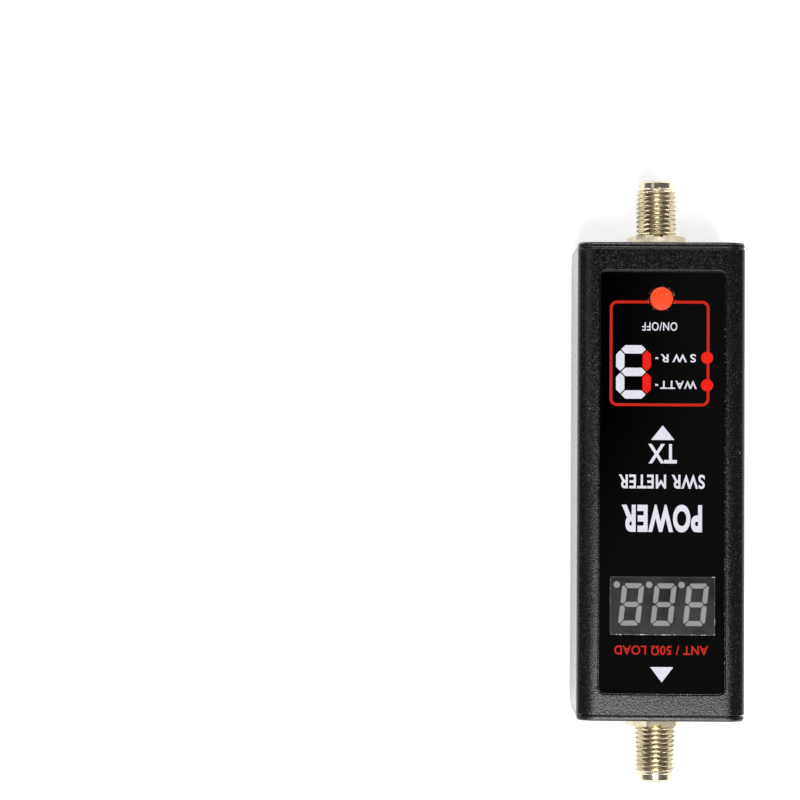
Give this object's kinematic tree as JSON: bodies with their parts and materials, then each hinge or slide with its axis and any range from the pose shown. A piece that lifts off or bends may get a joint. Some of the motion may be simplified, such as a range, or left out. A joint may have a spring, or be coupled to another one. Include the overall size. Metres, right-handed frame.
{
  "type": "swr meter",
  "caption": "Hand-size inline radio SWR and power meter: black rectangular tube case, coaxial jack on each end, segment display, red push button.",
  "frame": {"origin": "centre of the case's back face", "axes": "+Z out of the front face, +Y along the case towards the transmitter-end jack, +X towards the side with the charging socket"},
  "size_m": [0.0254, 0.093, 0.0214],
  "materials": {
    "case_coat": "textured black powder coat on aluminium",
    "black_screw": "black oxide",
    "label_film": "gloss",
    "board": "satin",
    "gold_copper": "satin",
    "chip_black": "matte",
    "trimmer_cream": "matte",
    "display_face": "satin",
    "display_segment": "satin",
    "tinned_pin": "satin",
    "button_red": "satin",
    "switch_black": "matte",
    "plain_steel": "satin",
    "socket_steel": "satin",
    "gold_plate": "polished",
    "light_lens": "gloss",
    "cell_foil": "satin",
    "foam_pad": "matte",
    "wire_red": "satin",
    "wire_black": "satin",
    "plug_cream": "matte",
    "capacitor_tan": "satin",
    "nickel": "polished nickel plate on brass",
    "white_ptfe": "satin"
  },
  "bodies": {
    "meter": {"case_shell": "case_coat", "tx_end_plate": "case_coat", "antenna_end_plate": "case_coat", "tx_end_screws": "black_screw", "antenna_end_screws": "black_screw", "front_label": "label_film", "main_board": "board", "through_line": "gold_copper", "pickup_lines": "gold_copper", "termination_resistors": "chip_black", "detector_diodes": "chip_black", "calibration_trimmers": "trimmer_cream", "display_body": "display_face", "display_segments": "display_segment", "display_pins": "tinned_pin", "switch_base": "switch_black", "switch_cover": "plain_steel", "switch_dome": "plain_steel", "switch_terminals": "tinned_pin", "usb_shell": "socket_steel", "usb_tongue": "switch_black", "usb_contacts": "gold_plate", "charge_light": "light_lens", "battery_cell": "cell_foil", "battery_pad": "foam_pad", "battery_lead_red": "wire_red", "battery_lead_black": "wire_black", "battery_header": "plug_cream", "battery_plug": "plug_cream", "microcontroller": "chip_black", "microcontroller_leads": "tinned_pin", "charger_chip": "chip_black", "voltage_regulator": "chip_black", "chip_resistors": "chip_black", "chip_capacitors": "capacitor_tan", "tx_jack_body": "nickel", "tx_jack_insulator": "white_ptfe", "tx_jack_contact": "gold_plate", "tx_jack_washer": "nickel", "tx_jack_nut": "nickel", "antenna_jack_body": "nickel", "antenna_jack_insulator": "white_ptfe", "antenna_jack_contact": "gold_plate", "antenna_jack_washer": "nickel", "antenna_jack_nut": "nickel"},
    "button": {"button_plunger": "button_red"}
  },
  "joints": [
    {"name": "button_press", "type": "slide", "parent": "meter", "child": "button", "axis": [0, 0, -1], "range_m": [0, 0.00025], "stiffness_N_per_m": 6000, "deforming": ["switch_dome"]}
  ]
}
